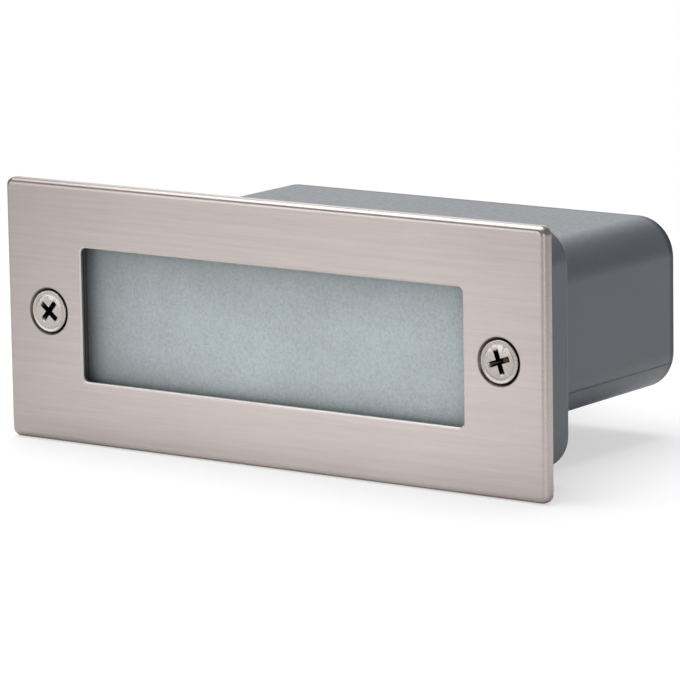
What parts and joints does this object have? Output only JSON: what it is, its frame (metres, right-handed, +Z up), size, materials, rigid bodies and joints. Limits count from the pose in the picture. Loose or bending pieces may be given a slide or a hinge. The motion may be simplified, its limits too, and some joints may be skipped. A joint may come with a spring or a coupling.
{
  "type": "recessed step light",
  "caption": "Low recessed wall light: brushed face plate with a long frosted window and countersunk screws, grey collar and box behind, cable gland at the rear.",
  "frame": {"origin": "middle of the face plate's rear rim, in the plane of the finished wall", "axes": "+X to the right as the light is seen from the front, +Y into the wall, +Z up"},
  "size_m": [0.11, 0.0747, 0.045],
  "materials": {
    "stainless_plate": "satin, brushed lengthwise",
    "foam_rubber": "matte",
    "stainless_screw": "satin",
    "nitrile_rubber": "matte",
    "brass_insert": "satin",
    "frosted_glass": "matte, etched",
    "silicone_rubber": "satin",
    "painted_casting": "satin grey powder coat over an aluminium casting",
    "white_reflector": "satin",
    "lamp_package": "matte",
    "white_circuit": "white solder mask over aluminium",
    "bare_aluminium": "satin",
    "zinc_screw": "satin",
    "green_circuit": "satin",
    "capacitor_sleeve": "satin",
    "ferrite": "matte",
    "winding_tape": "satin",
    "film_case": "satin",
    "black_resin": "satin",
    "blue_lacquer": "gloss",
    "fuse_case": "matte",
    "terminal_case": "satin",
    "lead_sleeve": "satin",
    "tinned_copper": "satin",
    "earth_steel": "satin",
    "black_nylon": "satin",
    "gland_rubber": "matte"
  },
  "bodies": {
    "housing_body": {"screw_inserts": "brass_insert", "glass_pane": "frosted_glass", "glass_gasket": "silicone_rubber", "housing": "painted_casting", "reflector": "white_reflector", "leds": "lamp_package", "led_board": "white_circuit", "mounting_plate": "bare_aluminium", "board_screws": "zinc_screw", "driver_board": "green_circuit", "can_capacitors": "capacitor_sleeve", "transformer_core": "ferrite", "transformer_coil": "winding_tape", "film_capacitor": "film_case", "bridge_rectifier": "black_resin", "varistor": "blue_lacquer", "fuse": "fuse_case", "terminal_block": "terminal_case", "terminal_screws": "zinc_screw", "led_leads": "lead_sleeve", "earth_tag": "tinned_copper", "earth_screw": "earth_steel", "gland_body": "black_nylon", "gland_washer": "gland_rubber", "gland_lock_nut": "black_nylon", "gland_seal": "gland_rubber", "gland_cap": "black_nylon"},
    "face_body": {"face_plate": "stainless_plate", "face_gasket": "foam_rubber", "screw_washers": "nitrile_rubber"},
    "screw_left_body": {"face_screw_left": "stainless_screw"},
    "screw_right_body": {"face_screw_right": "stainless_screw"}
  },
  "joints": [
    {"name": "face_plate_travel", "type": "slide", "parent": "housing_body", "child": "face_body", "axis": [0, -1, 0], "range_m": [0, 0.0091]},
    {"name": "screw_left_turn", "type": "hinge", "parent": "face_body", "child": "screw_left_body", "pos_m": [-0.046, 0, 0], "axis": [0, -1, 0], "range_deg": [0, 4680]},
    {"name": "screw_right_turn", "type": "hinge", "parent": "face_body", "child": "screw_right_body", "pos_m": [0.046, 0, 0], "axis": [0, -1, 0], "range_deg": [0, 4680]}
  ],
  "couplings": [
    {"joint": "screw_left_turn", "follows": "face_plate_travel", "rad_per_m": 8976},
    {"joint": "screw_right_turn", "follows": "face_plate_travel", "rad_per_m": 8976}
  ]
}
